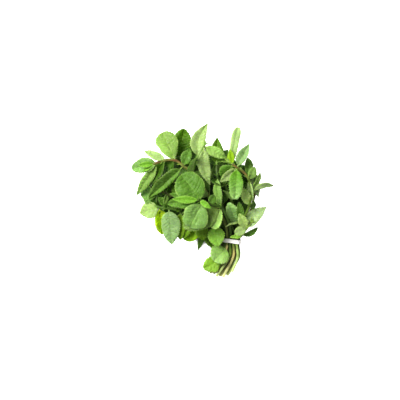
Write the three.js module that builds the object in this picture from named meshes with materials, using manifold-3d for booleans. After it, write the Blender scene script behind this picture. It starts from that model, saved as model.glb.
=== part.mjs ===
// A bunch of fresh mint: thirteen leafy stems held by one white elastic band, lying on its side.
// Millimetres. The bunch lies on the plane Z = 0, its cut ends point to -Y and its leaves to +Y.
import * as THREE from "three";
import Module from "manifold-3d";
import { mergeVertices } from "three/addons/utils/BufferGeometryUtils.js";

const wasm = await Module();
wasm.setup();

// ---- driving dimensions ----
const blade = { thickness: 0.8, stalkShare: 0.1, stalkHalf: 1, shoulder: 0.55, ribs: [0.3, 0.55, 0.8] };
const tooth = { first: 0.16, reach: 0.78, notch: 0.3, depth: 0.12, step: 8.5, fewest: 2, most: 5 };
const shoulderAt = 0.07; // a station of the margin between the stalk and the first tooth
const stem = { buttRadius: 2.3, tipRadius: 1.7, bud: 2, sides: 4, ringsPerReach: 2 };
const bandTie = { middle: [38, -51.8], lean: 6, height: 5.6, wall: 1.1, gap: 0.45, straight: 0.75 };
const clearance = 0.3; // kept round every leaf
const footShare = 0.2; // leaves of one stem may meet up to this share of their length
const smallest = 0.02; // the shortest edge left where leaves are fused
const seed = 2718;

// Where each stem runs through the band: [places across it from its middle, row above the surface].
const place = 4.3;
const slots = {
  left: [-1.5, 2], rosette: [-0.5, 2], right: [0.5, 2], east: [1.5, 2],
  edge: [-2, 1], lower: [-1, 1], inland: [0, 1], crown: [1, 1], inner: [2, 1],
  bottom: [-1.5, 0], west: [-0.5, 0], north: [0.5, 0], outer: [1.5, 0],
};

// A leaf as it grows: the joint of the stem that it stands on, where its tip is, how wide it is, then in
// degrees its roll about its own axis, the arch of its midrib and the fold of its halves. sweep bows it
// sideways in mm, and point is near 0.5 in a rounded leaf and 1 in a pointed one.
function leaf(at, tip, width, roll = 0, bend = 20, fold = 10, more = {}) {
  return { at, tip, width, roll, bend, fold, sweep: 0, point: 0.75, lies: false, ...more };
}

// Each stem: its points below the band from the cut end on, its joints above the band, the leaves that are
// placed one by one, and the joints whose pairs follow the rule. Joint 1 is the first above the band, and
// joint -1 the last point below it.
const sprigs = {
  rosette: {
    below: [[18, -97, 11.5], [34.5, -72, 12]],
    joints: [[34, -30, 31], [24, -9, 48], [8, -4, 57], [0, -1, 61], [-4, 1, 65]],
    leaves: [
      leaf(4, [-27, 33, 56], 37, 4, 18, 7, { point: 0.5 }),
      leaf(4, [-16, -33, 54], 34, -4, 28, 7, { point: 0.5 }),
      leaf(5, [-37, 2, 61], 11, 0, 20, 22),
      leaf(5, [-49, -4, 50], 18, 0, 22, 12),
      leaf(5, [10, -9, 68], 9, 0, 20, 25),
      leaf(3, [-42, 10, 47], 13, 10, 15, 10),
      leaf(2, [13, -34.5, 51], 14, 190, 10, 12, { point: 0.35 }),
      leaf(2, [-24, -33, 40], 31, 0, 24, 8, { point: 0.65 }),
      leaf(3, [15, 7, 51], 12, 20, 25, 10),
    ],
    pairs: [],
  },
  right: {
    below: [[26.5, -98, 11.5], [39.5, -72, 12]],
    joints: [
      [50, -28, 26], [59, -6, 36], [62, 12, 42], [58, 27, 46], [51, 37, 48], [43, 42, 50], [38, 46, 50],
    ],
    leaves: [
      leaf(6, [41, 2, 53], 20, 0, 45, 10, { point: 0.5 }),
      leaf(7, [34, 65, 54], 9, 0, 10, 25),
      leaf(6, [22, 24, 45], 13, -20, 30, 12),
      leaf(7, [29, 57, 52], 8, 0, 15, 20),
      leaf(6, [59, 72, 46], 16, -15, 10, 30, { point: 0.9 }),
      leaf(7, [45, 93, 44], 13, 12, 12, 18, { sweep: -2.5, point: 0.35 }),
      leaf(7, [21, 27, 38], 22, 25, 20, 18),
      leaf(4, [66, 43, 42], 12, 10, 20, 12),
      leaf(4, [64, 0, 38], 11, 35, 15, 20, { point: 0.9 }),
      leaf(3, [90.5, 19, 36], 9, 35, 45, 15, { sweep: -7 }),
      leaf(4, [57, 56, 36], 9, 0, 10, 15),
      leaf(3, [73, 36, 38], 8, 30, 30, 20),
      leaf(2, [51, 17, 40], 14, 0, 25, 10),
      leaf(1, [46, -1, 34], 11, 0, 20, 12),
      leaf(2, [68, -5, 30], 11, 20, 25, 12),
      leaf(1, [27, -31, 37], 4.5, 60, 50, 10),
    ],
    pairs: [],
  },
  east: {
    below: [[38, -91, 11.5], [45, -73, 12]],
    joints: [[50, -44, 16], [56, -35, 25], [61, -29, 27]],
    leaves: [
      leaf(2, [46, -15, 35], 14, 0, 25, 10, { point: 0.8 }),
      leaf(2, [41, -41, 31], 13, 0, 30, 12, { point: 0.6 }),
      leaf(2, [82, -7.5, 22], 19, -8, 15, 14, { sweep: -3, point: 0.95 }),
      leaf(1, [71, -34, 14], 8, 0, 15, 14, { sweep: 3, point: 0.7 }),
    ],
    pairs: [],
  },
  left: {
    below: [[10, -93, 10.5], [25, -76, 12], [31, -60, 12]],
    joints: [
      [28, -26, 28], [9, 5, 40], [-11, 34, 45], [-24, 44, 48], [-34, 51, 49], [-46, 51.5, 49],
      [-56, 48.5, 48], [-61, 47, 48],
    ],
    leaves: [
      leaf(-1, [14.5, -77, 21], 27, 0, 34, 8, { point: 0.55 }),
      leaf(-2, [1, -86.5, 15], 21, 0, 34, 8, { point: 0.6 }),
      leaf(8, [-80, 45, 52], 9, 0, 10, 28),
      leaf(8, [-75, 37, 48], 8, 20, 12, 25),
      leaf(6, [-73, 62.5, 50], 13, 10, 15, 18),
      leaf(5, [-51, 86.5, 42], 27, 0, 20, 6, { point: 0.4 }),
      leaf(7, [-90.5, 43.5, 40], 21, 6, 25, 10, { point: 0.6 }),
      leaf(6, [-72, 18, 36], 22, 15, 18, 36),
      leaf(4, [-73, 13, 30], 22, -12, 25, 15),
      leaf(7, [-86, 11, 26.5], 14, -4, 20, 15),
      leaf(5, [-58, 36, 26], 18, 0, 25, 12),
      leaf(4, [-16, 66, 42], 15, -10, 20, 12),
    ],
    pairs: [2, 3],
  },
  edge: {
    below: [[3, -86, 6.5], [27, -70, 7.5]],
    joints: [[22, -41, 14], [15, -31, 21], [0, -29, 23], [-14, -27, 24]],
    leaves: [
      leaf(2, [20, -58, 26], 22, 0, 28, 10),
      leaf(4, [-32, -46.5, 19], 19, 0, 20, 12),
      leaf(3, [0, -50, 20], 18, 0, 20, 12),
    ],
    pairs: [],
  },
  crown: {
    below: [[23, -97, 7], [40.5, -72, 7.5]],
    joints: [[36, -28, 13], [25, -6, 25], [13, 22, 33], [2, 42, 38], [-5, 53, 41], [2, 69, 46]],
    leaves: [
      leaf(6, [9.5, 20, 46], 17, -12, 30, 12, { sweep: 5, point: 0.9 }),
      leaf(6, [30, 54, 40], 15, 0, 25, 10),
      leaf(5, [6.5, 98, 40], 22, -5, 25, 15, { sweep: -6, point: 0.9 }),
      leaf(2, [8, 8, 36], 15, 10, 12, 25),
    ],
    pairs: [2, 3, 4],
  },
  lower: {
    below: [[9, -90, 6.5], [31.5, -71, 7.5]],
    joints: [[26, -32, 13], [-4, -21, 20], [-28, -13, 27], [-43, -9, 30], [-55, -8, 29], [-66, -3, 27]],
    leaves: [
      leaf(4, [-39, -55, 24], 26, 0, 18, 8, { point: 0.75 }),
      leaf(5, [-80, -16, 22], 24, 10, 20, 12, { point: 0.85 }),
      leaf(5, [-52, -43, 14], 21, -15, 20, 14),
      leaf(3, [-32, -48, 16], 17, 10, 18, 12),
      leaf(6, [-76, 4, 30], 9, 0, 15, 20),
      leaf(4, [-56, 5, 36], 12, 10, 20, 20),
    ],
    pairs: [2],
  },
  inland: {
    below: [[16, -93, 7], [36, -71.5, 7.5]],
    joints: [[30, -31, 20], [-2, -10, 31], [-26, 3, 33], [-45, 9, 33], [-58, 14, 32]],
    leaves: [
      leaf(5, [-80, 6, 24], 20, 0, 20, 12),
      leaf(4, [-42, 28, 40], 10, 60, 20, 15),
      leaf(4, [-51, -4, 38], 9, -50, 25, 15),
      leaf(5, [-66, 26, 33], 10, 0, 20, 18),
      leaf(5, [-68, 2, 36], 10, 15, 20, 18),
      leaf(3, [-38, 24, 36], 15, -20, 25, 15),
      leaf(3, [-32, -14, 38], 14, 10, 25, 12),
    ],
    pairs: [2],
  },
  inner: {
    below: [[32, -96, 7], [46.5, -73.5, 7.5]],
    joints: [[44, -30, 15], [37, 0, 27], [29, 19, 34], [19, 30, 40], [18, 45, 39]],
    leaves: [
      leaf(4, [22, -9, 41], 14, 0, 15, 32, { sweep: 1.5, point: 0.8 }),
      leaf(1, [33, -2, 36], 18, 0, 22, 8, { point: 0.55 }),
      leaf(5, [18.5, 81, 32], 18, 0, 12, 12, { point: 0.95 }),
      leaf(5, [33, 66, 28], 14, 0, 15, 12),
      leaf(3, [28, 54, 22], 17, 0, 15, 12, { teeth: 3 }),
    ],
    pairs: [2, 3, 5],
  },
  outer: {
    below: [[31, -95, 2.4], [42.5, -72.5, 3.2]],
    joints: [[52, -34, 8], [61, -16, 12], [66, 6, 17], [66, 26, 23], [63, 40, 27]],
    leaves: [
      leaf(5, [58, 55, 24], 8, 0, 15, 12),
      leaf(5, [71, 5, 33], 14, 10, 15, 20, { point: 0.9 }),
      leaf(2, [28, 6, 10], 28, 0, 20, 8, { teeth: 3 }),
      leaf(4, [40, 44, 14], 24, 0, 20, 8, { teeth: 3 }),
      leaf(3, [50, 28, 12], 20, 0, 20, 8, { teeth: 3 }),
      leaf(1, [36, -18, 14], 18, 0, 20, 8, { teeth: 3 }),
      leaf(2, [50, -34, 0.4], 17, 0, -50, 4, { lies: true, teeth: 2 }),
      leaf(3, [71, 26, 0.4], 14, 0, -50, 4, { lies: true }),
    ],
    pairs: [4],
  },
  bottom: {
    below: [[7, -89, 2.4], [29, -71, 3.2]],
    joints: [[19, -40, 6], [0, -34, 9], [-18, -29, 12], [-32, -24, 14]],
    leaves: [
      leaf(2, [-24, -49, 8], 19, 10, 15, 12, { point: 0.6 }),
      leaf(2, [-5, -65, 4], 10, -20, 10, 25, { point: 1.0 }),
      leaf(2, [15, -62, 7], 14, 20, 15, 20, { point: 0.8 }),
      leaf(3, [-14.5, -52, 14], 23, 4, 15, 10, { point: 0.5 }),
      leaf(4, [-46, -36, 0.4], 20, 0, -50, 4, { lies: true }),
      leaf(4, [-48, 2, 11], 22, 0, 20, 8, { teeth: 3 }),
      leaf(1, [42, -31, 0.4], 14, 0, -50, 4, { lies: true, teeth: 3 }),
      leaf(2, [23, -12, 1], 19, 0, -40, 4, { lies: true, teeth: 2 }),
    ],
    pairs: [],
  },
  west: {
    below: [[14, -94, 2.4], [33.5, -71.5, 3.2]],
    joints: [[24, -30, 8], [-2, -6, 14], [-30, 8, 18], [-52, 14, 20], [-66, 18, 21]],
    leaves: [
      leaf(4, [-68, -12, 0.4], 22, 0, -50, 4, { lies: true }),
      leaf(4, [-62, 36, 3], 18, 0, 20, 8, { teeth: 2 }),
      leaf(2, [-32, -12, 0.4], 20, 0, -50, 4, { lies: true, teeth: 2 }),
      leaf(5, [-76, 24, 14], 16, 0, 15, 12),
      leaf(2, [20, 20, 9], 22, 0, 20, 8, { teeth: 3 }),
      leaf(1, [22, -6, 5], 20, 0, 20, 8, { teeth: 3 }),
    ],
    pairs: [2, 3, 4, 5],
  },
  north: {
    below: [[22, -97, 2.4], [38, -72, 3.2]],
    joints: [[34, -22, 8], [15, 14, 12], [-8, 36, 18], [-24, 46, 24], [-31, 53, 27], [-34, 60, 28]],
    leaves: [
      leaf(5, [-23.5, 92, 28], 25, 0, 12, 12, { point: 0.6 }),
      leaf(4, [-19, 68, 33], 14, 0, 15, 12),
      leaf(4, [-12, 74, 0.4], 22, 0, -50, 4, { lies: true }),
      leaf(2, [20, 46, 0.4], 18, 0, -50, 4, { lies: true, teeth: 2 }),
      leaf(2, [40, 0, 0.4], 20, 0, -50, 4, { lies: true, teeth: 2 }),
      leaf(2, [7, 55, 17], 24, 0, 20, 8, { teeth: 3 }),
      leaf(3, [-40, 40, 12], 22, 0, 20, 8, { teeth: 3 }),
      leaf(3, [2, 60, 8], 20, 0, 20, 8, { teeth: 3 }),
      leaf(4, [-44, 52, 14], 16, 0, 20, 8, { teeth: 3 }),
      leaf(2, [38, 24, 8], 20, 0, 20, 8, { teeth: 3 }),
    ],
    pairs: [2, 3, 5],
  },
};

// Pairs placed by rule: the length of a full leaf and its width against that, the share that one at the tip
// keeps, the leaves' angle to the stem, the ellipse that their tips stay inside, and the spread of each draw.
const rulePair = {
  length: 36, slimness: 0.62, youngShare: 0.4, teeth: 2, lean: 62, middle: [-2, 10], reach: [62, 56],
  turnSpread: 40, leanSpread: 24, lengthSpread: 0.3, bend: [15, 40], fold: [8, 20], point: [0.65, 0.85],
};

// ---- small tools ----
function randomFrom(state) {
  return () => {
    state = (state + 0x6d2b79f5) | 0;
    let mixed = Math.imul(state ^ (state >>> 15), 1 | state);
    mixed = (mixed + Math.imul(mixed ^ (mixed >>> 7), 61 | mixed)) ^ mixed;
    return ((mixed ^ (mixed >>> 14)) >>> 0) / 4294967296;
  };
}

const vector = (a) => new THREE.Vector3(...a);
const radians = THREE.MathUtils.degToRad;
const up = new THREE.Vector3(0, 0, 1);

function manifoldOf(points, triangles) {
  const vertProperties = new Float32Array(points.flatMap((p) => [p.x, p.y, p.z]));
  const triVerts = new Uint32Array(triangles.flat());
  return new wasm.Manifold(new wasm.Mesh({ numProp: 3, vertProperties, triVerts }));
}

function geometryOf(solid) {
  const { numProp, numVert, vertProperties, triVerts } = solid.getMesh();
  const positions = new Float32Array(numVert * 3);
  for (let i = 0; i < numVert; i++) {
    positions.set(vertProperties.subarray(i * numProp, i * numProp + 3), i * 3);
  }
  return new THREE.BufferGeometry()
    .setAttribute("position", new THREE.BufferAttribute(positions, 3))
    .setIndex(new THREE.BufferAttribute(triVerts, 1));
}

// ---- stems ----
const bandAlong = new THREE.Vector3(0, 1, 0).applyAxisAngle(up, radians(-bandTie.lean));
const bandAcross = new THREE.Vector3(1, 0, 0).applyAxisAngle(up, radians(-bandTie.lean));

const halfSide = stem.buttRadius * Math.SQRT1_2;
const slotAcross = (name) => slots[name][0] * place;
const slotUp = (name) => bandTie.wall + bandTie.gap + halfSide + slots[name][1] * place;

const jointIndex = (name, at) => sprigs[name].below.length + at + (at > 0 ? 1 : 0);

// A stem's points, with one at each side of the band, so that it runs straight through.
function routeOf(name) {
  const { below, joints } = sprigs[name];
  const inBand = [-bandTie.straight, bandTie.straight].map((share) =>
    new THREE.Vector3(...bandTie.middle, slotUp(name))
      .addScaledVector(bandAcross, slotAcross(name))
      .addScaledVector(bandAlong, share * bandTie.height),
  );
  return [...below.map(vector), ...inBand, ...joints.map(vector)];
}

// A square tapering stem along its route, with a ring at each point and between, and a bud past its last
// joint.
function stemSolid(route) {
  const end = route.at(-1).clone().sub(route.at(-2)).setLength(stem.bud).add(route.at(-1));
  const curve = new THREE.CatmullRomCurve3([...route, end], false, "catmullrom", 0.5);
  const rings = route.length * stem.ringsPerReach;
  const points = [];
  const triangles = [];
  let side = bandAcross.clone();
  for (let i = 0; i <= rings; i++) {
    const t = i / rings;
    const tangent = curve.getTangent(t);
    side = side.addScaledVector(tangent, -side.dot(tangent)).normalize();
    const other = tangent.clone().cross(side);
    const radius = THREE.MathUtils.lerp(stem.buttRadius, stem.tipRadius, t * t);
    for (let k = 0; k < stem.sides; k++) {
      const angle = ((k + 0.5) / stem.sides) * 2 * Math.PI;
      const corner = curve.getPoint(t).addScaledVector(side, radius * Math.cos(angle));
      points.push(corner.addScaledVector(other, radius * Math.sin(angle)));
    }
  }
  const n = stem.sides;
  for (let i = 0; i < rings; i++) {
    for (let k = 0; k < n; k++) {
      const [a, b] = [i * n + k, i * n + ((k + 1) % n)];
      triangles.push([a, b, b + n], [a, b + n, a + n]);
    }
  }
  const last = rings * n;
  for (let k = 1; k < n - 1; k++) triangles.push([0, k + 1, k], [last, last + k, last + k + 1]);
  return manifoldOf(points, triangles);
}

// ---- leaves ----
// The half width at a share x of the blade, 1 at its widest.
function outline(x, point) {
  const widest = blade.shoulder / (blade.shoulder + point);
  const at = (y) => Math.pow(y, blade.shoulder) * Math.pow(1 - y, point);
  return at(x) / at(widest);
}

// A leaf's own frame: its chord, its face's normal and the length of its midrib.
function growth(spec) {
  const along = spec.tip.clone().sub(spec.base);
  const chord = along.length();
  along.divideScalar(chord);
  const normal = spec.normal.clone().addScaledVector(along, -spec.normal.dot(along)).normalize();
  const arch = radians(spec.bend);
  const length = Math.abs(arch) < 1e-6 ? chord : (chord * arch) / 2 / Math.sin(arch / 2);
  return { along, normal, side: along.clone().cross(normal), arch, length, chord };
}

// A point of the leaf's middle surface at a share u of its length and a distance to one side of its midrib.
function onBlade(spec, grown, u, side, half) {
  const { along, normal, side: across, arch, length, chord } = grown;
  const [start, now] = [arch / 2, arch / 2 - arch * u];
  const ahead = Math.abs(arch) < 1e-6 ? chord * u : (length / arch) * (Math.sin(start) - Math.sin(now));
  const lift = Math.abs(arch) < 1e-6 ? 0 : (length / arch) * (Math.cos(now) - Math.cos(start));
  const face = normal.clone().multiplyScalar(Math.cos(now)).addScaledVector(along, -Math.sin(now));
  const fold = radians(spec.fold);
  const point = spec.base
    .clone()
    .addScaledVector(along, ahead)
    .addScaledVector(normal, lift)
    .addScaledVector(across, side * half * Math.cos(fold) + spec.sweep * Math.sin(Math.PI * u))
    .addScaledVector(face, half * Math.sin(fold));
  return { point, face };
}

// The stations down one margin: [share of the length, half width].
function margin(spec, grown) {
  const { stalkShare, stalkHalf } = blade;
  const fitting = THREE.MathUtils.clamp(Math.round(grown.length / tooth.step), tooth.fewest, tooth.most);
  const teeth = spec.teeth ?? fitting;
  const at = (x, share) => {
    const half = (spec.width / 2) * outline(x, spec.point) * share;
    return [stalkShare + (1 - stalkShare) * x, Math.max(half, stalkHalf / 2)];
  };
  const stations = [[0, stalkHalf], [stalkShare, stalkHalf]];
  if (!spec.teeth) stations.push(at(shoulderAt, 1));
  for (let k = 0; k < teeth; k++) {
    const x = tooth.first + (tooth.reach * (k + 0.5)) / teeth;
    stations.push(at(x, 1), at(x + tooth.notch / teeth, 1 - tooth.depth));
  }
  return stations;
}

// A closed blade: its margin with teeth on both sides, and its midrib. room is added all round it, and from
// leaves its stalk off.
function leafSolid(spec, room = 0, from = 0) {
  const grown = growth(spec);
  const stations = margin(spec, grown)
    .filter(([u]) => u >= from)
    .map(([u, half]) => [u, half + room]);
  const ribs = [stations[0][0], ...blade.ribs];
  const middle = [];
  const put = (u, side, half) => middle.push(onBlade(spec, grown, u, side, half)) - 1;
  const rib = ribs.map((u) => put(u, 1, 0));
  const margins = [1, -1].map((side) => stations.map(([u, half]) => put(u, side, half)));
  const tip = put(1, 1, 0);
  const faces = [];
  margins.forEach((line, which) => {
    let [i, j] = [0, 0];
    const outer = [...line, tip];
    const inner = [...rib, tip];
    const uOuter = [...stations.map(([u]) => u), 1];
    const uInner = [...ribs, 1];
    while (i < outer.length - 1 || j < inner.length - 2) {
      const outerNext = i < outer.length - 1 && uOuter[i + 1] <= uInner[j + 1];
      const stepOuter = j === inner.length - 2 || outerNext;
      const triangle = [inner[j], outer[i], stepOuter ? outer[i + 1] : inner[j + 1]];
      faces.push(which ? triangle.reverse() : triangle);
      if (stepOuter) i++;
      else j++;
    }
  });
  const rim = [rib[0], ...margins[0], tip, ...margins[1].slice().reverse()];
  const count = middle.length;
  const lowest = spec.lies ? blade.thickness / 2 : -Infinity;
  const shifted = (sign) =>
    middle.map(({ point, face }) => {
      const level = point.clone().setZ(Math.max(point.z, lowest));
      return level.addScaledVector(face, sign * (blade.thickness / 2 + room));
    });
  const triangles = [...faces, ...faces.map(([a, b, c]) => [a + count, c + count, b + count])];
  rim.forEach((a, k) => {
    const b = rim[(k + 1) % rim.length];
    triangles.push([b, a, a + count], [b, a + count, b + count]);
  });
  return manifoldOf([...shifted(1), ...shifted(-1)], triangles);
}

// ---- leaves that would cross another are bent clear ----
const bends = [[0, 0, 0]];
const ways = [
  [1, 0, 0], [-1, 0, 0], [0, 1, 0], [0, -1, 0], [0, 0, 2], [0, 0, -2],
  [1, 1, 0], [1, -1, 0], [-1, 1, 0], [-1, -1, 0], [1, 0, 2], [-1, 0, -2],
];
for (const angle of [4, 8, 13, 19, 26, 34]) {
  for (const way of ways) bends.push(way.map((share) => share * angle));
}

// The same leaf lifted, swung and rolled about its foot by so many degrees.
function turned(spec, [lift, swing, roll]) {
  const { along, normal, side } = growth(spec);
  const arm = spec.tip.clone().sub(spec.base).applyAxisAngle(side, radians(lift));
  const tip = arm.applyAxisAngle(normal, radians(swing)).add(spec.base);
  const face = normal.clone().applyAxisAngle(side, radians(lift)).applyAxisAngle(along, radians(roll));
  return { ...spec, tip, normal: face };
}

const boxesMeet = (a, b) => [0, 1, 2].every((k) => a.min[k] <= b.max[k] && b.min[k] <= a.max[k]);
const withBox = (solid) => ({ solid, box: solid.boundingBox() });
const crosses = (a, b) => boxesMeet(a.box, b.box) && a.solid.intersect(b.solid).volume() > 0;

const placed = []; // {sprig, whole, free} for each leaf, and {sprig, whole} for each stem

function isClear(spec) {
  const whole = withBox(leafSolid(spec, clearance));
  if (!spec.lies && whole.box.min[2] < 0) return false;
  const free = withBox(leafSolid(spec, clearance, footShare));
  return !placed.some((other) =>
    other.sprig === spec.sprig ? other.free && crosses(free, other.free) : crosses(whole, other.whole),
  );
}

// Adds the leaf at the first bend that is clear of everything. One that is never clear is left out.
function grow(spec) {
  const bend = bends.find((turn) => isClear(turned(spec, turn)));
  if (!bend) return;
  const grown = turned(spec, bend);
  const whole = withBox(leafSolid(grown));
  placed.push({ sprig: spec.sprig, whole, free: withBox(leafSolid(grown, 0, footShare)) });
}

// A leaf that is placed one by one, with its face turned up and then rolled.
function placedLeaf(sprig, route, { at, tip, roll, ...form }) {
  const [base, end] = [route[jointIndex(sprig, at)], vector(tip)];
  const along = end.clone().sub(base).normalize();
  const normal = up.clone().addScaledVector(along, -along.z).normalize();
  return { ...form, sprig, base, tip: end, normal: normal.applyAxisAngle(along, radians(roll)) };
}

// The two leaves of a joint, opposite each other and a quarter turn from the pair below.
function rulePairAt(sprig, route, at, random) {
  const last = route.length - 1;
  const index = jointIndex(sprig, at);
  const base = route[index];
  const stemWay = route[Math.min(index + 1, last)].clone().sub(route[index - 1]).normalize();
  const flat = stemWay.clone().cross(up).normalize();
  const share = 1 - (1 - rulePair.youngShare) * Math.pow(index / last, 3);
  const spread = (whole) => (random() - 0.5) * whole;
  const between = ([least, most]) => THREE.MathUtils.lerp(least, most, random());
  const quarter = (at % 2) * 90 + 45 + spread(rulePair.turnSpread);
  return [0, 180].map((opposite) => {
    const out = flat.clone().applyAxisAngle(stemWay, radians(quarter + opposite));
    const lean = radians(rulePair.lean + spread(rulePair.leanSpread));
    const length = rulePair.length * share * (1 + spread(rulePair.lengthSpread));
    const along = stemWay.clone().multiplyScalar(Math.cos(lean)).addScaledVector(out, Math.sin(lean));
    const tip = base.clone().addScaledVector(along, length);
    const normal = stemWay.clone().multiplyScalar(Math.sin(lean)).addScaledVector(out, -Math.cos(lean));
    const width = length * rulePair.slimness;
    const bend = between(rulePair.bend);
    const fold = between(rulePair.fold);
    const point = between(rulePair.point);
    const form = { width, bend, fold, point, sweep: 0, lies: false, teeth: rulePair.teeth };
    return { ...form, sprig, base, tip, normal };
  });
}

function insideBunch({ tip }) {
  const [x, y] = [tip.x - rulePair.middle[0], tip.y - rulePair.middle[1]];
  return Math.hypot(x / rulePair.reach[0], y / rulePair.reach[1]) < 1;
}

// ---- the band ----
// Its inside is stretched round the outermost corners of the stems.
function bandSolid() {
  const names = Object.keys(slots);
  const rows = [0, 1, 2].map((row) => names.filter((name) => slots[name][1] === row));
  const right = rows.flatMap((row) => {
    const x = Math.max(...row.map(slotAcross)) + halfSide;
    return [-halfSide, halfSide].map((side) => new THREE.Vector2(x, slotUp(row[0]) + side));
  });
  const corners = [...right, ...right.map(({ x, y }) => new THREE.Vector2(-x, y)).reverse()];
  const hull = corners.filter((corner, i) => {
    const [last, next] = [corners.at(i - 1), corners[(i + 1) % corners.length]];
    return corner.clone().sub(last).cross(next.clone().sub(corner)) > 0;
  });
  const outward = hull.map((corner, i) => {
    const edge = hull[(i + 1) % hull.length].clone().sub(corner);
    return Math.atan2(-edge.x, edge.y);
  });
  const round = (path, radius) => {
    hull.forEach(({ x, y }, i) => path.absarc(x, y, radius, outward.at(i - 1), outward[i]));
    return path.closePath();
  };
  const shape = round(new THREE.Shape(), bandTie.gap + bandTie.wall);
  shape.holes.push(round(new THREE.Path(), bandTie.gap));
  const extent = { depth: bandTie.height, bevelEnabled: false, curveSegments: 1 };
  const ring = new THREE.ExtrudeGeometry(shape, extent);
  ring.translate(0, 0, -bandTie.height / 2).rotateX(Math.PI / 2);
  ring.rotateZ(radians(-bandTie.lean)).translate(...bandTie.middle, 0);
  ring.deleteAttribute("normal").deleteAttribute("uv");
  return mergeVertices(ring, 1e-4);
}

// ---- the bunch ----
const colours = { leaf: "#5f9a35", band: "#f1ece6" };
const random = randomFrom(seed);
const routes = Object.fromEntries(Object.keys(sprigs).map((name) => [name, routeOf(name)]));
const stems = Object.fromEntries(Object.entries(routes).map(([name, route]) => [name, stemSolid(route)]));
for (const [name, solid] of Object.entries(stems)) placed.push({ sprig: name, whole: withBox(solid) });

for (const [name, { leaves }] of Object.entries(sprigs)) {
  for (const entry of leaves) grow(placedLeaf(name, routes[name], entry));
}
for (const [name, { pairs }] of Object.entries(sprigs)) {
  const byRule = pairs.flatMap((at) => rulePairAt(name, routes[name], at, random));
  byRule.filter(insideBunch).forEach(grow);
}

const bunch = new THREE.Group();
for (const name of Object.keys(sprigs)) {
  const leaves = placed.filter((item) => item.free && item.sprig === name).map((item) => item.whole.solid);
  const fused = leaves.reduce((whole, next) => whole.add(next), stems[name]);
  const [solid] = fused.simplify(smallest).decompose().sort((a, b) => b.volume() - a.volume());
  const material = new THREE.MeshStandardMaterial({ color: colours.leaf, roughness: 0.55, metalness: 0 });
  const mesh = new THREE.Mesh(geometryOf(solid), material);
  mesh.name = `sprig_${name}`;
  bunch.add(mesh);
}
const band = new THREE.Mesh(
  bandSolid(),
  new THREE.MeshStandardMaterial({ color: colours.band, roughness: 0.6, metalness: 0 }),
);
band.name = "band";
bunch.add(band);

export default bunch;
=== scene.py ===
import math

import bpy
import numpy as np
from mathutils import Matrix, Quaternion, Vector
from mathutils.kdtree import KDTree


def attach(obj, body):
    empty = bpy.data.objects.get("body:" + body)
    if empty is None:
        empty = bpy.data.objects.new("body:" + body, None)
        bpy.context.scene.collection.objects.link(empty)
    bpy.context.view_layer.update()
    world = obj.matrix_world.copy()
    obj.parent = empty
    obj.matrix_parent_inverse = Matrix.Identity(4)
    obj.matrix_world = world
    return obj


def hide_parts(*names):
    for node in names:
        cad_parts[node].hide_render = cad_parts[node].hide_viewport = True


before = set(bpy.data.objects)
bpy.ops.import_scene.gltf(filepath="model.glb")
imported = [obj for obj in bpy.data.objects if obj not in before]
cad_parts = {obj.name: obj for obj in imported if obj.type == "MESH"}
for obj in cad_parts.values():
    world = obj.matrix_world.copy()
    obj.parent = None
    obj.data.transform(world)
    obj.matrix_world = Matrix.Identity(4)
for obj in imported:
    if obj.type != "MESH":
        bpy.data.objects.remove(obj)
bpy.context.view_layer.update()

# A bunch of fresh mint tied with a white elastic band. Sizes below are in millimetres and degrees.
mm = 0.001
scene = bpy.context.scene
up = Vector((0, 0, 1))
print("frame loaded")

# A leaf's colour by the name of its tone, as sRGB. shade and deep are darkened as painted shade for leaves
# low in or inside the bunch, and sunny, cool and apple are lightened as painted light for leaves that lie
# in cast shadow.
tones = {
    "fresh": (114, 158, 54), "young": (134, 166, 58), "light": (123, 151, 76), "mid": (86, 121, 43),
    "leafy": (120, 153, 84), "deep": (62, 98, 16), "dark": (75, 108, 4), "blue": (132, 160, 108),
    "grey": (170, 184, 138), "pale": (147, 168, 107), "cream": (152, 170, 107), "yellow": (166, 196, 18),
    "olive": (96, 126, 12), "shade": (38, 68, 6), "soft": (157, 180, 118), "glow": (140, 172, 92),
    "sunny": (168, 194, 114), "cool": (148, 186, 112), "lime": (142, 178, 26), "apple": (172, 220, 96),
    "silver": (177, 198, 144), "moss": (72, 104, 42), "grass": (92, 140, 24),
}


def linear(colour):  # sRGB from 0 to 255 as the linear values that shaders take
    shares = [value / 255 for value in colour]
    return np.array([c / 12.92 if c <= 0.04045 else ((c + 0.055) / 1.055) ** 2.4 for c in shares])


# What a leaf is like unless its own line says otherwise. sweep bows it sideways in mm, point is near 0.5 in
# a rounded leaf and 1 in a pointed one, and one that lies rests on the surface. teeth is how many the solid
# has on a side (None fits them to its length), wave how far the margin waves in mm, and relief how deep the
# veins are. split makes one half lighter and the other darker as painted light and shade, slim narrows
# one half, and bloom pales it towards its tip, or below 0 darkens it there as painted shade. A fine
# leaf is a small one that the solids leave out; the dark ones among them fill gaps in the bunch as painted
# shade.
plainLeaf = dict(sweep=0, point=0.75, lies=False, teeth=None, wave=0.45, relief=1, split=0, slim=1,
                 bloom=0, fine=False)
# pairs placed by rule take the dark deep tone unless a stem says otherwise: painted shade inside the bunch
plainStem = dict(brown=(118, 86, 58), brownShare=0, brownFrom=0.5, pairs=[], pairTone="deep",
                 tips=((7.5, 0.55), (5, 0.3)), youngTone="fresh")


# A leaf as it grows: its joint (1 is the first above the band, -1 the first below), where its tip is, its
# width and tone, then its roll about its own axis, the arch of its midrib and the fold of its halves.
def leaf(at, tip, width, tone, roll=0, bend=15, fold=12, **more):
    return dict(plainLeaf, at=at, tip=Vector(tip), width=width, tone=tone, roll=roll, bend=bend, fold=fold,
                **more)


# its dark shade tone is painted shade
def under(at, tip, width, teeth=3):  # one in the shade of the others
    return leaf(at, tip, width, "shade", 0, 20, 8, teeth=teeth)


def lying(at, tip, width, tone, teeth=None):  # one that lies on the surface
    return leaf(at, (*tip, 0.4), width, tone, 0, -50, 4, lies=True, teeth=teeth)


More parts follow.
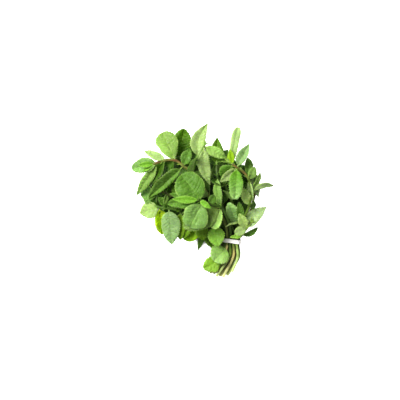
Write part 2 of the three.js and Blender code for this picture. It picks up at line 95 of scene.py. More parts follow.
# Each stem: its slot in the band (places across from the middle, rows up), its green, its straw colour
# below the band, how brown it is from a share of its length on, its points below the band from the cut end
# on, its joints above the band, and those with pairs placed by rule. tips are the lengths of the pairs of
# young leaves at its end and how far they open, in radians, and sprouts the joints with small leaves in
# their angles, or all from the second. Then its leaves placed one by one.
sprigs, leaves = {}, {}
sprigs["rosette"] = dict(
    slot=(-0.5, 2), green=(70, 98, 32), straw=(108, 138, 50), below=[(18, -97, 11.5), (34.5, -72, 12)],
    joints=[(34, -30, 31), (24, -9, 48), (8, -4, 57), (0, -1, 61), (-4, 1, 65)])
leaves["rosette"] = [
    leaf(4, (-27, 33, 56), 37, "mid", 4, 18, 7, point=0.5, wave=0.7),
    leaf(4, (-16, -33, 54), 34, "leafy", -4, 28, 7, point=0.5, wave=0.7),
    leaf(5, (-37, 2, 61), 11, "fresh", 0, 20, 22),
    leaf(5, (-49, -4, 50), 18, "mid", 0, 22, 12),
    leaf(5, (10, -9, 68), 9, "fresh", 0, 20, 25),
    leaf(3, (-42, 10, 47), 13, "mid", 10, 15, 10),
    leaf(2, (13, -34.5, 51), 14, "leafy", 190, 10, 12, point=0.35, relief=0.6, split=0.6),
    leaf(2, (-24, -33, 40), 31, "light", 0, 24, 8, point=0.65, wave=0.7),
    leaf(3, (15, 7, 51), 12, "mid", 20, 25, 10),
]
sprigs["right"] = dict(
    slot=(0.5, 2), green=(98, 122, 46), straw=(178, 164, 106),
    brown=(130, 98, 60), brownShare=0.8, brownFrom=0.6, below=[(26.5, -98, 11.5), (39.5, -72, 12)],
    tips=((15, 0.5), (11, 0.3), (7, 0.2)), youngTone="young",
    joints=[(50, -28, 26), (59, -6, 36), (62, 12, 42), (58, 27, 46), (51, 37, 48), (43, 42, 50),
            (38, 46, 50)])
leaves["right"] = [
    leaf(6, (41, 2, 53), 20, "grass", 0, 45, 10, point=0.5, bloom=0.9),
    leaf(7, (34, 65, 54), 9, "lime", 0, 10, 25),
    leaf(6, (22, 24, 45), 13, "pale", -20, 30, 12),
    leaf(7, (29, 57, 52), 8, "lime", 0, 15, 20),
    leaf(6, (59, 72, 46), 16, "blue", -15, 10, 30, point=0.9),
    leaf(7, (45, 93, 44), 13, "soft", 12, 12, 18, sweep=-2.5, point=0.35, relief=0.3),
    leaf(7, (21, 27, 38), 22, "mid", 25, 20, 18, split=0.25),
    leaf(4, (66, 43, 42), 12, "light", 10, 20, 12),
    leaf(4, (64, 0, 38), 11, "soft", 35, 15, 20, point=0.9),
    leaf(3, (90.5, 19, 36), 9, "soft", 35, 45, 15, sweep=-7, relief=0.3),
    leaf(4, (57, 56, 36), 9, "mid", 0, 10, 15),
    leaf(3, (73, 36, 38), 8, "light", 30, 30, 20),
    leaf(2, (51, 17, 40), 14, "sunny", 0, 25, 10),
    leaf(1, (46, -1, 34), 11, "mid", 0, 20, 12),
    leaf(2, (68, -5, 30), 11, "deep", 20, 25, 12),
    leaf(1, (27, -31, 37), 4.5, "pale", 60, 50, 10),
    leaf(5, (32, 51, 32), 14, "deep", fine=True),
]
sprigs["east"] = dict(
    slot=(1.5, 2), green=(132, 156, 76), straw=(166, 190, 112), below=[(38, -91, 11.5), (45, -73, 12)],
    joints=[(50, -44, 16), (56, -35, 25), (61, -29, 27)], sprouts=(1, 2), youngTone="young")
leaves["east"] = [
    leaf(2, (46, -15, 35), 14, "sunny", 0, 25, 10, point=0.8),
    leaf(2, (41, -41, 31), 13, "soft", 0, 30, 12, point=0.6),
    leaf(2, (82, -7.5, 22), 19, "silver", -8, 15, 14, sweep=-3, point=0.95, split=-0.15),
    leaf(1, (71, -34, 14), 8, "mid", 0, 15, 14, sweep=3, point=0.7),
    leaf(1, (35, -46.5, 20), 6.5, "apple", 0, 20, 15, fine=True),
    leaf(1, (42, -47.5, 22), 6, "apple", 20, 20, 15, fine=True),
]
sprigs["left"] = dict(
    slot=(-1.5, 2), green=(122, 136, 66), straw=(186, 174, 116),
    brown=(124, 92, 58), brownShare=0.95, brownFrom=0.42,
    below=[(10, -93, 10.5), (25, -76, 12), (31, -60, 12)],
    joints=[(28, -26, 28), (9, 5, 40), (-11, 34, 45), (-24, 44, 48), (-34, 51, 49), (-46, 51.5, 49),
            (-56, 48.5, 48), (-61, 47, 48)],
    pairs=[2, 3], pairTone="mid", youngTone="young")
leaves["left"] = [
    leaf(-1, (14.5, -77, 21), 27, "glow", 0, 34, 8, point=0.55, wave=0.6, bloom=0.6),
    leaf(-2, (1, -86.5, 15), 21, "young", 0, 34, 8, point=0.6, wave=0.6),
    leaf(8, (-80, 45, 52), 9, "fresh", 0, 10, 28),
    leaf(8, (-75, 37, 48), 8, "fresh", 20, 12, 25),
    leaf(6, (-73, 62.5, 50), 13, "soft", 10, 15, 18),
    leaf(5, (-51, 86.5, 42), 27, "light", 0, 20, 6, point=0.4, wave=0.7),
    leaf(7, (-90.5, 43.5, 40), 21, "leafy", 6, 25, 10, point=0.6),
    leaf(6, (-72, 18, 36), 22, "deep", 15, 18, 36),
    leaf(4, (-73, 13, 30), 22, "mid", -12, 25, 15, wave=1.0, split=-0.2, slim=0.58),
    leaf(7, (-86, 11, 26.5), 14, "light", -4, 20, 15),
    leaf(5, (-58, 36, 26), 18, "deep", 0, 25, 12),
    leaf(4, (-16, 66, 42), 15, "mid", -10, 20, 12),
]
sprigs["edge"] = dict(
    slot=(-2, 1), green=(84, 116, 40), straw=(132, 158, 68), below=[(3, -86, 6.5), (27, -70, 7.5)],
    joints=[(22, -41, 14), (15, -31, 21), (0, -29, 23), (-14, -27, 24)])
leaves["edge"] = [
    leaf(2, (20, -58, 26), 22, "apple", 0, 28, 10, bloom=-0.45),
    leaf(4, (-32, -46.5, 19), 19, "olive", 0, 20, 12),
    leaf(3, (0, -50, 20), 18, "olive", 0, 20, 12),
]
sprigs["crown"] = dict(
    slot=(1, 1), green=(112, 140, 70), straw=(150, 120, 82), below=[(23, -97, 7), (40.5, -72, 7.5)],
    joints=[(36, -28, 13), (25, -6, 25), (13, 22, 33), (2, 42, 38), (-5, 53, 41), (2, 69, 46)],
    pairs=[2, 3, 4], pairTone="mid", sprouts=(2, 3, 4))
leaves["crown"] = [
    leaf(6, (9.5, 20, 46), 17, "pale", -12, 30, 12, sweep=5, point=0.9, wave=0.6),
    leaf(6, (30, 54, 40), 15, "glow", 0, 25, 10),
    leaf(5, (6.5, 98, 40), 22, "pale", -5, 25, 15, sweep=-6, point=0.9, wave=0.6),
    leaf(2, (8, 8, 36), 15, "mid", 10, 12, 25),
    leaf(6, (13, 61, 39), 8, "mid", fine=True),
]
sprigs["lower"] = dict(
    slot=(-1, 1), green=(92, 124, 50), straw=(122, 134, 62), below=[(9, -90, 6.5), (31.5, -71, 7.5)],
    joints=[(26, -32, 13), (-4, -21, 20), (-28, -13, 27), (-43, -9, 30), (-55, -8, 29), (-66, -3, 27)],
    pairs=[2], pairTone="mid")
leaves["lower"] = [
    leaf(4, (-39, -55, 24), 26, "blue", 0, 18, 8, point=0.75, wave=0.6, relief=0.7),
    leaf(5, (-80, -16, 22), 24, "cream", 10, 20, 12, point=0.85, wave=0.6, split=0.08),
    leaf(5, (-52, -43, 14), 21, "yellow", -15, 20, 14, split=0.3),
    leaf(3, (-32, -48, 16), 17, "olive", 10, 18, 12),
    leaf(6, (-76, 4, 30), 9, "leafy", 0, 15, 20),
    leaf(4, (-56, 5, 36), 12, "mid", 10, 20, 20),
    leaf(5, (-51, -23, 21), 10, "deep", fine=True),
]
sprigs["inland"] = dict(
    slot=(0, 1), green=(84, 102, 42), straw=(182, 196, 114), brownShare=0.4,
    below=[(16, -93, 7), (36, -71.5, 7.5)],
    joints=[(30, -31, 20), (-2, -10, 31), (-26, 3, 33), (-45, 9, 33), (-58, 14, 32)],
    pairs=[2], pairTone="mid")
leaves["inland"] = [
    leaf(5, (-80, 6, 24), 20, "leafy", 0, 20, 12),
    leaf(4, (-42, 28, 40), 10, "mid", 60, 20, 15),
    leaf(4, (-51, -4, 38), 9, "light", -50, 25, 15),
    leaf(5, (-66, 26, 33), 10, "olive", 0, 20, 18),
    leaf(5, (-68, 2, 36), 10, "mid", 15, 20, 18),
    leaf(3, (-38, 24, 36), 15, "dark", -20, 25, 15),
    leaf(3, (-32, -14, 38), 14, "dark", 10, 25, 12),
]
sprigs["inner"] = dict(
    slot=(2, 1), green=(72, 100, 36), straw=(138, 162, 86), brownShare=0.1,
    below=[(32, -96, 7), (46.5, -73.5, 7.5)],
    joints=[(44, -30, 15), (37, 0, 27), (29, 19, 34), (19, 30, 40), (18, 45, 39)],
    pairs=[2, 3, 5])
leaves["inner"] = [
    leaf(4, (22, -9, 41), 14, "glow", 0, 15, 32, sweep=1.5, point=0.8, split=0.2),
    leaf(1, (33, -2, 36), 18, "cool", 0, 22, 8, point=0.55),
    leaf(5, (18.5, 81, 32), 18, "dark", 0, 12, 12, point=0.95),
    leaf(5, (33, 66, 28), 14, "mid"),
    leaf(3, (28, 54, 22), 17, "deep", teeth=3),
    leaf(5, (5, 63, 26), 12, "deep", fine=True),
    leaf(4, (24, 54, 27), 12, "light", fine=True),
]
sprigs["outer"] = dict(
    slot=(1.5, 0), green=(84, 104, 44), straw=(180, 202, 120), brownShare=0.5,
    below=[(31, -95, 2.4), (42.5, -72.5, 3.2)],
    joints=[(52, -34, 8), (61, -16, 12), (66, 6, 17), (66, 26, 23), (63, 40, 27)],
    pairs=[4], sprouts=(1, 2, 3, 4))
leaves["outer"] = [
    leaf(5, (58, 55, 24), 8, "mid"),
    leaf(5, (71, 5, 33), 14, "grey", 10, 15, 20, point=0.9),
    under(2, (28, 6, 10), 28),
    under(4, (40, 44, 14), 24),
    under(3, (50, 28, 12), 20),
    under(1, (36, -18, 14), 18),
    lying(2, (50, -34), 17, "shade", teeth=2),
    lying(3, (71, 26), 14, "deep"),
]
sprigs["bottom"] = dict(
    slot=(-1.5, 0), green=(74, 96, 34), straw=(194, 182, 128), below=[(7, -89, 2.4), (29, -71, 3.2)],
    joints=[(19, -40, 6), (0, -34, 9), (-18, -29, 12), (-32, -24, 14)])
leaves["bottom"] = [
    leaf(2, (-24, -49, 8), 19, "deep", 10, 15, 12, point=0.6),
    leaf(2, (-5, -65, 4), 10, "mid", -20, 10, 25, point=1.0),
    leaf(2, (15, -62, 7), 14, "dark", 20, 15, 20, point=0.8),
    leaf(3, (-14.5, -52, 14), 23, "lime", 4, 15, 10, point=0.5),
    lying(4, (-46, -36), 20, "deep"),
    under(4, (-48, 2, 11), 22),
    lying(1, (42, -31), 14, "shade", teeth=3),
    leaf(2, (23, -12, 1), 19, "shade", 0, -40, 4, lies=True, teeth=2),
]
sprigs["west"] = dict(
    slot=(-0.5, 0), green=(70, 92, 32), straw=(142, 126, 80), below=[(14, -94, 2.4), (33.5, -71.5, 3.2)],
    joints=[(24, -30, 8), (-2, -6, 14), (-30, 8, 18), (-52, 14, 20), (-66, 18, 21)],
    pairs=[2, 3, 4, 5])
leaves["west"] = [
    lying(4, (-68, -12), 22, "deep"),
    under(4, (-62, 36, 3), 18, teeth=2),
    lying(2, (-32, -12), 20, "shade", teeth=2),
    leaf(5, (-76, 24, 14), 16, "deep"),
    under(2, (20, 20, 9), 22),
    under(1, (22, -6, 5), 20),
]
sprigs["north"] = dict(
    slot=(0.5, 0), green=(70, 92, 32), straw=(202, 196, 142), below=[(22, -97, 2.4), (38, -72, 3.2)],
    joints=[(34, -22, 8), (15, 14, 12), (-8, 36, 18), (-24, 46, 24), (-31, 53, 27), (-34, 60, 28)],
    pairs=[2, 3, 5])
leaves["north"] = [
    leaf(5, (-23.5, 92, 28), 25, "dark", 0, 12, 12, point=0.6, relief=1.6),
    leaf(4, (-19, 68, 33), 14, "moss"),
    lying(4, (-12, 74), 22, "deep"),
    lying(2, (20, 46), 18, "shade", teeth=2),
    lying(2, (40, 0), 20, "shade", teeth=2),
    under(2, (7, 55, 17), 24),
    under(3, (-40, 40, 12), 22),
    under(3, (2, 60, 8), 20),
    under(4, (-44, 52, 14), 16),
    under(2, (38, 24, 8), 20),
]

sprigs = {name: {**plainStem, **plan} for name, plan in sprigs.items()}

# The same values as the solids have: pairs placed by rule, the band, the stems and the form of a leaf.
rulePair = dict(length=36, slimness=0.62, youngShare=0.4, teeth=2, lean=62, turnSpread=40, leanSpread=24,
                lengthSpread=0.3, bend=(15, 40), fold=(8, 20), point=(0.65, 0.85))
bandTie = dict(middle=(38, -51.8), lean=6, height=5.6, wall=1.1, gap=0.45, straight=0.75)
stemForm = dict(buttRadius=2.3, tipRadius=1.7, bud=2)
slotPitch = 4.3
stalkShare, stalkHalf = 0.1, 1  # the stalk's part of a leaf's length, and half its width
shoulder = 0.55  # how steeply the blade widens from its foot
bladeThickness = 0.8
tooth = dict(first=0.16, reach=0.78, notch=0.3, depth=0.12, step=8.5, fewest=2, most=5)
# How a leaf of the solids may have been lifted, swung and rolled clear of its neighbours.
bendWays = [(1, 0, 0), (-1, 0, 0), (0, 1, 0), (0, -1, 0), (0, 0, 2), (0, 0, -2),
            (1, 1, 0), (1, -1, 0), (-1, 1, 0), (-1, -1, 0), (1, 0, 2), (-1, 0, -2)]
bendAngles = (4, 8, 13, 19, 26, 34)
bends = [(0, 0, 0)] + [tuple(angle * w for w in way) for angle in bendAngles for way in bendWays]
# The bend is found by how much of the leaf's margin, clear of its foot, lies near the solid's corners.
bendSearch = dict(footShare=0.3, near=0.08, sure=0.85, least=0.45)
drawSeed = 2718


def mulberry(state):  # the seeded draws that the solids use
    def draw():
        nonlocal state
        state = (state + 0x6D2B79F5) & 0xFFFFFFFF
        mixed = ((state ^ (state >> 15)) * (1 | state)) & 0xFFFFFFFF
        mixed = ((mixed + (((mixed ^ (mixed >> 7)) * (61 | mixed)) & 0xFFFFFFFF)) & 0xFFFFFFFF) ^ mixed
        return (mixed ^ (mixed >> 14)) / 4294967296
    return draw


def turnedAbout(v, axis, degrees):
    return Quaternion(axis, math.radians(degrees)) @ v


bandAlong = turnedAbout(Vector((0, 1, 0)), up, -bandTie["lean"])
bandAcross = turnedAbout(Vector((1, 0, 0)), up, -bandTie["lean"])
halfSide = stemForm["buttRadius"] * math.sqrt(0.5)


def rowUp(row):
    return bandTie["wall"] + bandTie["gap"] + halfSide + row * slotPitch


def routeOf(plan):  # a stem's points, with one at each side of the band
    across, row = plan["slot"]
    centre = Vector((*bandTie["middle"], rowUp(row))) + bandAcross * across * slotPitch
    ends = (-bandTie["straight"], bandTie["straight"])
    inBand = [centre + bandAlong * share * bandTie["height"] for share in ends]
    return [Vector(p) for p in plan["below"]] + inBand + [Vector(p) for p in plan["joints"]]


def jointIndex(name, at):
    return len(sprigs[name]["below"]) + at + (1 if at > 0 else 0)


def waysAt(route, i):  # the way that a stem runs, and a level way across it
    way = (route[min(i + 1, len(route) - 1)] - route[i - 1]).normalized()
    return way, way.cross(up).normalized()


def growth(spec):  # the arc that a leaf's midrib follows from its base to its tip
    chordWay = spec["tip"] - spec["base"]
    along = chordWay.normalized()
    normal = (spec["normal"] - along * spec["normal"].dot(along)).normalized()
    arch = math.radians(spec["bend"])
    length = chordWay.length * arch / 2 / math.sin(arch / 2)
    return dict(along=along, normal=normal, side=along.cross(normal), arch=arch, length=length)


# Points of the blade at a share u of its length and a signed distance from its midrib, and its face there.
def onBlade(spec, grown, u, offset, lift=0, crease=0):
    along, normal, side = (np.array(grown[key]) for key in ("along", "normal", "side"))
    turn = grown["arch"] * (0.5 - u)
    reach = grown["length"] / grown["arch"]
    ahead = reach * (math.sin(grown["arch"] / 2) - np.sin(turn))
    rise = reach * (np.cos(turn) - math.cos(grown["arch"] / 2))
    face = np.cos(turn)[..., None] * normal - np.sin(turn)[..., None] * along
    fold = math.radians(spec["fold"])
    out = offset * math.cos(fold) + spec["sweep"] * np.sin(math.pi * u)
    stand = (np.sqrt(offset ** 2 + crease ** 2) - crease) * math.sin(fold) + lift
    points = np.array(spec["base"]) + ahead[..., None] * along + rise[..., None] * normal
    return points + out[..., None] * side + stand[..., None] * face, face


def outline(x, point):  # half width at a share x of the blade, 1 at its widest
    widest = shoulder / (shoulder + point)
    x = np.clip(x, 0, 1)
    return x ** shoulder * (1 - x) ** point / (widest ** shoulder * (1 - widest) ** point)


def solidRim(spec, grown):  # corners of the solid leaf's margin, clear of its foot
    fitting = min(max(math.floor(grown["length"] / tooth["step"] + 0.5), tooth["fewest"]), tooth["most"])
    teeth = spec["teeth"] or fitting
    x = tooth["first"] + tooth["reach"] * (np.arange(teeth) + 0.5) / teeth
    x = np.concatenate([x, x + tooth["notch"] / teeth])
    share = np.repeat([1, 1 - tooth["depth"]], teeth)
    half = np.maximum(spec["width"] / 2 * outline(x, spec["point"]) * share, stalkHalf / 2)
    u = stalkShare + (1 - stalkShare) * x
    clear = u > bendSearch["footShare"]
    u, half = u[clear], half[clear]
    points, face = onBlade(spec, grown, np.concatenate([u, u, [1]]), np.concatenate([half, -half, [0]]))
    if spec["lies"]:
        points[:, 2] = np.maximum(points[:, 2], bladeThickness / 2)
    return np.concatenate([points + side * face * bladeThickness / 2 for side in (1, -1)])


def turned(spec, way):  # the same leaf lifted, swung and rolled about its foot
    lift, swing, roll = way
    grown = growth(spec)
    arm = turnedAbout(spec["tip"] - spec["base"], grown["side"], lift)
    tip = spec["base"] + turnedAbout(arm, grown["normal"], swing)
    face = turnedAbout(turnedAbout(grown["normal"], grown["side"], lift), grown["along"], roll)
    return {**spec, "tip": tip, "normal": face}


def placedLeaf(name, route, entry):
    base = route[jointIndex(name, entry["at"])]
    along = (entry["tip"] - base).normalized()
    normal = (up - along * along.z).normalized()
    return {**entry, "base": base, "normal": turnedAbout(normal, along, entry["roll"])}


def rulePairAt(name, route, at, draw):  # two leaves face to face, a quarter turned from the pair below
    f, index = rulePair, jointIndex(name, at)
    base = route[index]
    stemWay, flat = waysAt(route, index)
    share = 1 - (1 - f["youngShare"]) * (index / (len(route) - 1)) ** 3
    quarter = (at % 2) * 90 + 45 + (draw() - 0.5) * f["turnSpread"]
    pair = []
    for opposite in (0, 180):
        out = turnedAbout(flat, stemWay, quarter + opposite)
        lean = math.radians(f["lean"] + (draw() - 0.5) * f["leanSpread"])
        length = f["length"] * share * (1 + (draw() - 0.5) * f["lengthSpread"])
        way = stemWay * math.cos(lean) + out * math.sin(lean)
        own = dict(plainLeaf, base=base, tip=base + way * length, width=length * f["slimness"],
                   normal=stemWay * math.sin(lean) - out * math.cos(lean), teeth=f["teeth"],
                   tone=sprigs[name]["pairTone"])
        for key in ("bend", "fold", "point"):
            low, high = f[key]
            own[key] = low + (high - low) * draw()
        pair.append(own)
    return pair


# The bend that the solid leaf took, found from its corners, or None where it was left out.
def asGrown(spec, tree):
    best = (0, None)
    for way in bends:
        trial = turned(spec, way)
        rim = solidRim(trial, growth(trial))
        share = sum(tree.find(Vector(p))[2] < bendSearch["near"] for p in rim) / len(rim)
        if share > best[0]:
            best = (share, trial)
        if share > bendSearch["sure"]:
            break
    return best[1] if best[0] > bendSearch["least"] else None


def leavesOf(name, route, draw):
    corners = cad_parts[f"sprig_{name}"].data.vertices
    tree = KDTree(len(corners))
    for i, corner in enumerate(corners):
        tree.insert(corner.co / mm, i)
    tree.balance()
    specs = [placedLeaf(name, route, entry) for entry in leaves[name]]
    for at in sprigs[name]["pairs"]:
        specs += rulePairAt(name, route, at, draw)
    grown = [spec if spec["fine"] else asGrown(spec, tree) for spec in specs]
    return [spec for spec in grown if spec]


leafForm = dict(
    fullLength=34, leastRelief=0.35,  # from that length on a leaf has all its relief
    veinEvery=3.7, veinPairs=(4, 11),  # a pair of side veins for so many mm of length, and their limits
    veinLean=0.55,  # how far forward the side veins run, against the half width
    toothEvery=3.2, teeth=(5, 16), toothHeight=1.3,  # along the margin and out from it
    toothSpread=(0.5, 1.3), toothShare=(0.03, 0.16),  # of that height, and of the half width
    rowsToTooth=(0, 0.34, 0.64, 0.84),  # stations on each tooth, the last at its point
    footRows=(0, 0.012, 0.03), toothed=(0.05, 0.93), tipRows=(0.985, 0.995), stalkRows=5,
    columnEvery=0.95, columns=(5, 20), edgeColumns=(0.985, 1),
    thickness=1.0, bladeShare=0.42, rimShare=0.2, ribShare=0.45, stalk=0.85,
    quilt=0.5, rib=0.5, pucker=0.55, puckerSize=2.5, swell=1.0, swellSize=9, curl=0.7, gull=0.07,
    uneven=0.12,  # how far each margin strays from an even outline
    lowest=0.35,  # above the surface
    # halves is how much lighter one half is than the other, as painted light and shade, where a leaf's line
    # gives none
    lightness=(0.93, 1.07), hue=0.025, halves=0.12,  # how leaves and their halves differ in colour
    footColour=(150, 178, 88), footShare=0.8, footReach=0.16,
    marginColour=(184, 208, 122), marginShare=0.85, marginWidth=0.12, marginTint=0.45,
    bloomColour=(158, 188, 122),
    seed=41,
)
looks = np.random.default_rng(leafForm["seed"])
heightCells = 64
heights = looks.uniform(-1, 1, (heightCells, heightCells))


def ripple(a, b):  # smooth random heights from -1 to 1, one to each unit square
    i, j = np.floor(a).astype(int), np.floor(b).astype(int)
    p, q = ((w * w * (3 - 2 * w)) for w in (a - i, b - j))

    def height(right, ahead):
        return heights[(i + right) % heightCells, (j + ahead) % heightCells]

    near = height(0, 0) * (1 - p) + height(1, 0) * p
    far = height(0, 1) * (1 - p) + height(1, 1) * p
    return near * (1 - q) + far * q


def leafSheet(spec):
    f = leafForm
    grown = growth(spec)
    length, full = grown["length"], spec["width"] / 2
    size = np.clip(length / f["fullLength"], f["leastRelief"], 1)
    ownA, ownB = looks.uniform(0, 60, 2)
    pairs = int(np.clip(round(length / f["veinEvery"]), *f["veinPairs"]))
    teeth = int(np.clip(round(length / f["toothEvery"]), *f["teeth"]))
    bite = looks.uniform(*f["toothSpread"], (2, teeth)) * np.clip(f["toothHeight"] / full, *f["toothShare"])

    # rows along the blade, closer together on each tooth, and columns from margin to margin
    phases = np.array(f["rowsToTooth"])
    across = np.concatenate([(k + phases) / teeth for k in range(teeth)])
    rise = np.tile(np.minimum(phases / phases[-1], 1), teeth)
    first, reach = f["toothed"]
    xm = np.concatenate([f["footRows"], first + reach * across, f["tipRows"]])
    cuts = np.zeros((2, len(xm)))
    cuts[:, 3:-2] = (1 - rise) * np.repeat(bite, len(phases), axis=1)
    cuts *= np.clip(xm / 0.15, 0, 1)
    stalkRows = np.linspace(0, 0.85, f["stalkRows"]) * stalkShare

    columns = int(np.clip(round(full / f["columnEvery"]), *f["columns"]))
    oneSide = np.append(np.linspace(0, 0.94, columns), f["edgeColumns"])
    v = np.concatenate([-oneSide[:0:-1], oneSide])
    sign = np.sign(v)[None, :]
    out = np.abs(v)[None, :]
    cut = np.where(v < 0, cuts[0][:, None], cuts[1][:, None])

    # each row runs from the midrib forward to the margin, as the side veins do
    lean = f["veinLean"] * full / length * np.sin(math.pi * xm) ** 0.8
    x = (xm - lean)[:, None] + lean[:, None] * (0.55 * out + 0.45 * out ** 2)
    stray = 1 + f["uneven"] * ripple(x * 3.4 + ownA, sign * 5.3 + ownB)
    smooth = full * outline(x, spec["point"]) * stray * np.where(sign < 0, spec["slim"], 1)
    offset = sign * (out * smooth - cut * full * out ** 6)
    offset = sign * np.maximum(np.abs(offset), out * f["stalk"] * (1 - 0.6 * x))
    u = stalkShare + (1 - stalkShare) * x

    # relief: raised between the veins, puckered all over, with a swelling, waved and curled blade
    w = xm[:, None] * pairs + 0.35 * ripple(xm[:, None] * 6 + ownB, v[None, :] * 1.7 + ownA)
    body = np.clip(x / 0.12, 0, 1) * np.clip((1 - x) / 0.08, 0, 1)
    way = u * length
    relief = f["quilt"] * (np.abs(np.sin(math.pi * w)) ** 0.8 - 0.6) * np.clip(out * 5, 0, 1)
    relief += f["pucker"] * ripple(way / f["puckerSize"] + ownA, offset / f["puckerSize"] + ownB)
    relief = (relief * (1 - out ** 4) - f["rib"] * np.exp(-(offset / 0.8) ** 2)) * spec["relief"]
    relief += f["swell"] * ripple(way / f["swellSize"] + ownB, offset / f["swellSize"] + ownA)
    turns, shift = looks.uniform(1.3, 2.4), looks.uniform(0, 1, 2)
    phase = np.where(v < 0, shift[0], shift[1])[None, :]
    relief += spec["wave"] * out ** 2 * np.sin(2 * math.pi * (turns * x + phase))
    relief = size * (relief - f["curl"] * out ** 4)
    gull = (1 - np.cos(2 * math.pi * np.clip(out * 0.72, 0, 1))) * 0.5
    relief += f["gull"] * spec["relief"] * full * gull
    relief *= body

    stalkU = np.repeat(stalkRows[:, None], len(v), axis=1)
    stalkOffset = np.repeat((v * f["stalk"])[None, :], len(stalkRows), axis=0)
    share = np.concatenate([stalkU, u])
    side = np.concatenate([stalkOffset, offset])
    lift = np.concatenate([np.zeros_like(stalkU), relief])
    points = onBlade(spec, grown, share, side, lift, crease=0.6)[0]
    tip = onBlade(spec, grown, np.array([1.0]), np.array([0.0]))[0]
    rows, columns = share.shape
    points = np.concatenate([points.reshape(-1, 3), tip])
    points[:, 2] = np.maximum(points[:, 2], f["lowest"])

    r, c = np.meshgrid(np.arange(rows - 1), np.arange(columns - 1), indexing="ij")
    first = (r * columns + c).ravel()
    faces = np.stack([first, first + 1, first + columns + 1, first + columns], axis=1).tolist()
    top = (rows - 1) * columns
    faces += [[top + k, top + k + 1, rows * columns] for k in range(columns - 1)]

    # thick along the midrib and stalk, thin at the margin
    edge = np.repeat(out, rows, axis=0)
    blade = f["bladeShare"] + (f["rimShare"] - f["bladeShare"]) * edge ** 3
    blade += f["ribShare"] * np.exp(-(side / 0.5) ** 2) * (1 - np.clip(share, 0, 1)) ** 0.7
    stalkThick = np.sqrt(np.clip(1 - edge ** 2, 0.08, 1))
    into = np.clip((share - stalkShare * 0.8) / 0.1, 0, 1)
    thick = np.append((stalkThick * (1 - into) + blade * into).ravel(), f["rimShare"])

    alongUv = np.concatenate([np.zeros_like(stalkU), w / pairs])
    uv = np.stack([alongUv.ravel(), np.tile(v * 0.5 + 0.5, rows)], axis=1)
    uv = np.concatenate([uv, [[1, 0.5]]])
    tint = leafTint(spec, share, edge * sign)
    veins = np.full(len(points), float(pairs))
    return dict(points=points, faces=faces, thick=thick, uv=uv, tint=tint, veins=veins)


# The tone, a little different on each leaf, one half lighter and the other darker as painted light and
# shade, paler at the foot and along the margin, and paler towards the tip, or darker there as painted
# shade.
def leafTint(spec, share, across):
    f = leafForm
    base = linear(tones[spec["tone"]])
    base = base * looks.uniform(*f["lightness"]) * (1 + looks.uniform(-f["hue"], f["hue"], 3))
    edge = base * (1 - f["marginTint"]) + linear(f["marginColour"]) * f["marginTint"]
    # one half lighter and the other darker: painted light and shade
    half = 1 + (spec["split"] or looks.uniform(-f["halves"], f["halves"])) * np.tanh(across * 6)
    footShare = np.clip(1 - share / f["footReach"], 0, 1)[..., None] * f["footShare"]
    fromMargin = (np.abs(across) - (1 - f["marginWidth"])) / f["marginWidth"]
    edgeShare = np.clip(fromMargin, 0, 1)[..., None] * f["marginShare"]
    # paler towards the tip, or below 0 darker there as painted shade
    bloom = np.clip(share, 0, 1)[..., None] ** 2 * spec["bloom"]
    colour = base * half[..., None]
    colour = colour * (1 - np.abs(bloom)) + linear(f["bloomColour"]) * np.maximum(bloom, 0)
    colour = colour * (1 - edgeShare) + edge * edgeShare
    colour = colour * (1 - footShare) + linear(f["footColour"]) * footShare
    colour = np.concatenate([colour.reshape(-1, 3), [edge]])
    return np.concatenate([colour, np.ones((len(colour), 1))], axis=1)


def joined(parts):  # several sheets as one set of arrays
    whole = {key: np.concatenate([part[key] for part in parts]) for key in parts[0] if key != "faces"}
    start, faces = 0, []
    for part in parts:
        faces += [[i + start for i in face] for face in part["faces"]]
        start += len(part["points"])
    return {**whole, "faces": faces}


def added(name, data):  # a new object in the scene
    made = bpy.data.objects.new(name, data)
    scene.collection.objects.link(made)
    return made


# A mesh with its colours, and a leaf's own coordinates and veins, in place of a node of the solids.
def meshPiece(name, arrays, materials, node):
    mesh = bpy.data.meshes.new(name)
    mesh.from_pydata((arrays["points"] * mm).tolist(), [], arrays["faces"])
    tint = mesh.attributes.new("tint", "FLOAT_COLOR", "POINT")
    tint.data.foreach_set("color", arrays["tint"].ravel())
    if "uv" in arrays:
        corners = np.empty(len(mesh.loops), dtype=np.int32)
        mesh.loops.foreach_get("vertex_index", corners)
        mesh.uv_layers.new(name="leaf").data.foreach_set("uv", arrays["uv"][corners].ravel())
    if "veins" in arrays:
        mesh.attributes.new("veins", "FLOAT", "POINT").data.foreach_set("value", arrays["veins"])
    if "finish" in arrays:
        mesh.polygons.foreach_set("material_index", arrays["finish"])
    for material in materials:
        mesh.materials.append(material)
    mesh.shade_smooth()
    piece = added(name, mesh)
    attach(piece, "root")
    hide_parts(node)
    return piece


def foliage(name, specs):  # all the leaves of one stem, with an upper face, an underside and a rim
    arrays = joined([leafSheet(spec) for spec in specs])
    piece = meshPiece(f"leaves_{name}", arrays, [leafUpper, leafUnder], f"sprig_{name}")
    group = piece.vertex_groups.new(name="thick")
    thick = np.round(arrays["thick"], 2)
    for share in np.unique(thick):
        inGroup = np.flatnonzero(thick == share)
        group.add(inGroup.tolist(), float(min(share, 1)), "REPLACE")
    shell = piece.modifiers.new("thickness", "SOLIDIFY")
    shell.thickness = leafForm["thickness"] * mm
    shell.offset = 0
    shell.vertex_group = "thick"
    shell.material_offset = 1
    shell.material_offset_rim = 1


stemSkinForm = dict(
    ringEvery=1.4, around=16, squareness=5, groove=0.06, swelling=0.22, swellingLength=2.2,
    inset=0.97, pith=0.45, dish=0.25,  # the cut end's bevel, its pale middle and how hollow that is
    cutSkin=(200, 210, 146), cutReach=1.2, cutShare=0.7,  # paler towards the cut
    pithColour=(206, 212, 158), rimShare=0.8, middleShare=1.08,
    skinRing=0.93, sunk=0.02, leastBud=0.12,
    brownFade=0.12, brownTwist=40, strawFade=0.08, patches=0.25, patchesAlong=40,
    jointShade=0.3, lightness=(0.94, 1.06),
)


